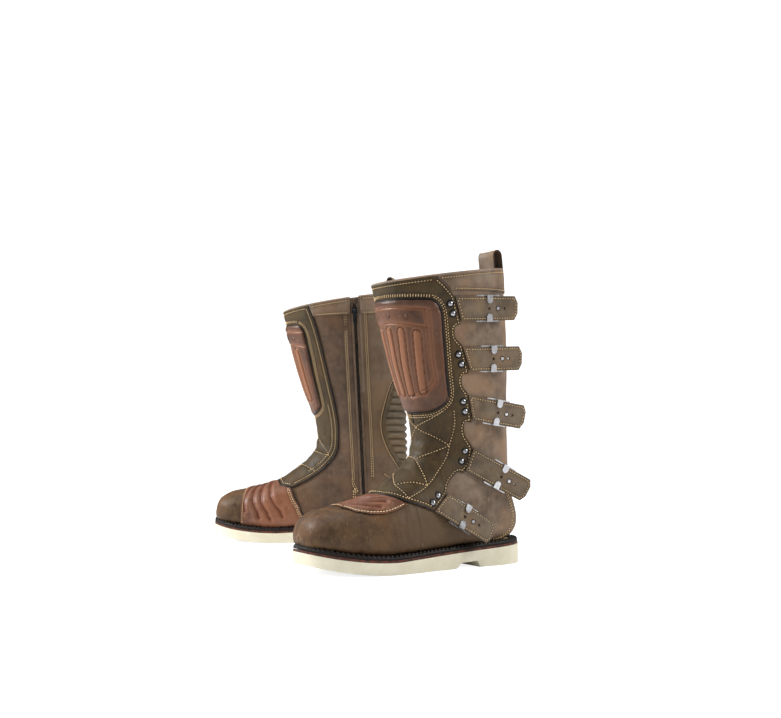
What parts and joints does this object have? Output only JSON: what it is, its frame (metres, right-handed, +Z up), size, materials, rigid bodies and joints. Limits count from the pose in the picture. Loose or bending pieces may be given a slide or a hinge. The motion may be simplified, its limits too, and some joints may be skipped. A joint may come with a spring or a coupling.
{
  "type": "motorcycle riding boots",
  "caption": "Pair of tall leather motorcycle boots with hook straps, medial zip, moulded shin plates, shift guards and welted rubber soles.",
  "frame": {"origin": "on the ground, at the middle of the pair's box", "axes": "+X from the left boot's heel to its toe, +Y to the left boot's lateral side, +Z up; the right boot stands on the -Y side, turned"},
  "size_m": [0.3552, 0.549, 0.4049],
  "materials": {
    "upper_leather": "oiled nubuck, grey-brown",
    "wrap_leather": "waxed leather, olive-brown",
    "strap_leather": "waxed leather, olive-brown",
    "guard_leather": "moulded red-brown leather",
    "lining_leather": "smooth lining leather",
    "foam": "cloth-faced foam",
    "board": "pressed fibre board",
    "welt": "black stitched welt",
    "midsole": "red-brown edge",
    "sole_rubber": "cream rubber",
    "steel": "bright stamped steel",
    "zip_black": "black coil zip",
    "zip_metal": "black lacquered metal"
  },
  "bodies": {
    "left_boot": {"left_outsole": "sole_rubber", "left_midsole": "midsole", "left_welt": "welt", "left_insole_board": "board", "left_shank": "steel", "left_footbed": "foam", "left_lining": "lining_leather", "left_vamp": "upper_leather", "left_medial_quarter": "upper_leather", "left_lateral_quarter": "upper_leather", "left_back_flex_panel": "upper_leather", "left_collar": "upper_leather", "left_front_wrap": "wrap_leather", "left_shift_guard": "guard_leather", "left_shin_plate": "guard_leather", "left_pull_loop": "upper_leather", "left_rivets_and_catches": "steel", "left_zip_chain": "zip_black"},
    "left_strap_1": {"left_strap_1": "strap_leather", "left_strap_clip_1": "steel"},
    "left_strap_2": {"left_strap_2": "strap_leather", "left_strap_clip_2": "steel"},
    "left_strap_3": {"left_strap_3": "strap_leather", "left_strap_clip_3": "steel"},
    "left_strap_4": {"left_strap_4": "strap_leather", "left_strap_clip_4": "steel"},
    "left_strap_5": {"left_strap_5": "strap_leather", "left_strap_clip_5": "steel"},
    "left_zip_slider": {"left_zip_slider": "zip_metal"},
    "left_zip_pull": {"left_zip_pull": "zip_metal"},
    "right_boot": {"right_outsole": "sole_rubber", "right_midsole": "midsole", "right_welt": "welt", "right_insole_board": "board", "right_shank": "steel", "right_footbed": "foam", "right_lining": "lining_leather", "right_vamp": "upper_leather", "right_medial_quarter": "upper_leather", "right_lateral_quarter": "upper_leather", "right_back_flex_panel": "upper_leather", "right_collar": "upper_leather", "right_front_wrap": "wrap_leather", "right_shift_guard": "guard_leather", "right_shin_plate": "guard_leather", "right_pull_loop": "upper_leather", "right_rivets_and_catches": "steel", "right_zip_chain": "zip_black"},
    "right_strap_1": {"right_strap_1": "strap_leather", "right_strap_clip_1": "steel"},
    "right_strap_2": {"right_strap_2": "strap_leather", "right_strap_clip_2": "steel"},
    "right_strap_3": {"right_strap_3": "strap_leather", "right_strap_clip_3": "steel"},
    "right_strap_4": {"right_strap_4": "strap_leather", "right_strap_clip_4": "steel"},
    "right_strap_5": {"right_strap_5": "strap_leather", "right_strap_clip_5": "steel"},
    "right_zip_slider": {"right_zip_slider": "zip_metal"},
    "right_zip_pull": {"right_zip_pull": "zip_metal"}
  },
  "joints": [
    {"name": "left_strap_1_open", "type": "hinge", "parent": "left_boot", "child": "left_strap_1", "pos_m": [-0.0086, 0.26859, 0.32004], "axis": [-0.3445, -0.0857, -0.9349], "range_deg": [0, 75]},
    {"name": "left_strap_2_open", "type": "hinge", "parent": "left_boot", "child": "left_strap_2", "pos_m": [-0.02495, 0.26307, 0.25899], "axis": [-0.3918, -0.0705, -0.9173], "range_deg": [0, 75]},
    {"name": "left_strap_3_open", "type": "hinge", "parent": "left_boot", "child": "left_strap_3", "pos_m": [-0.03455, 0.25698, 0.19945], "axis": [-0.2521, -0.0809, -0.9643], "range_deg": [0, 75]},
    {"name": "left_strap_4_open", "type": "hinge", "parent": "left_boot", "child": "left_strap_4", "pos_m": [-0.04179, 0.24992, 0.13301], "axis": [0.2861, -0.1719, -0.9427], "range_deg": [0, 75]},
    {"name": "left_strap_5_open", "type": "hinge", "parent": "left_boot", "child": "left_strap_5", "pos_m": [0.00564, 0.25298, 0.08336], "axis": [0.727, 0.1474, -0.6706], "range_deg": [0, 75]},
    {"name": "left_zip_slide", "type": "slide", "parent": "left_boot", "child": "left_zip_slider", "axis": [-0.0399, 0.0753, -0.9964], "range_m": [0, 0.262]},
    {"name": "left_zip_pull_lift", "type": "hinge", "parent": "left_zip_slider", "child": "left_zip_pull", "pos_m": [-0.04933, 0.14043, 0.34944], "axis": [-0.9952, 0.0857, 0.0463], "range_deg": [0, 165]},
    {"name": "right_strap_1_open", "type": "hinge", "parent": "right_boot", "child": "right_strap_1", "pos_m": [-0.08912, -0.19969, 0.32004], "axis": [0.2283, -0.2719, 0.9349], "range_deg": [0, 75]},
    {"name": "right_strap_2_open", "type": "hinge", "parent": "right_boot", "child": "right_strap_2", "pos_m": [-0.0991, -0.18561, 0.25899], "axis": [0.2756, -0.2873, 0.9173], "range_deg": [0, 75]},
    {"name": "right_strap_3_open", "type": "hinge", "parent": "right_boot", "child": "right_strap_3", "pos_m": [-0.10329, -0.17504, 0.19945], "axis": [0.1564, -0.2136, 0.9643], "range_deg": [0, 75]},
    {"name": "right_strap_4_open", "type": "hinge", "parent": "right_boot", "child": "right_strap_4", "pos_m": [-0.105, -0.16508, 0.13301], "axis": [-0.3325, 0.0291, 0.9427], "range_deg": [0, 75]},
    {"name": "right_strap_5_open", "type": "hinge", "parent": "right_boot", "child": "right_strap_5", "pos_m": [-0.06843, -0.19543, 0.08336], "axis": [-0.5015, 0.5466, 0.6706], "range_deg": [0, 75]},
    {"name": "right_zip_slide", "type": "slide", "parent": "right_boot", "child": "right_zip_slider", "axis": [-0.0765, -0.0375, -0.9964], "range_m": [0, 0.262]},
    {"name": "right_zip_pull_lift", "type": "hinge", "parent": "right_zip_slider", "child": "right_zip_pull", "pos_m": [-0.04674, -0.07206, 0.34944], "axis": [0.8555, -0.5157, -0.0463], "range_deg": [0, 165]},
    {"name": "right_boot_lift_aside", "type": "slide", "parent": "left_boot", "child": "right_boot", "axis": [0, -1, 0], "range_m": [0, 0.15]}
  ]
}
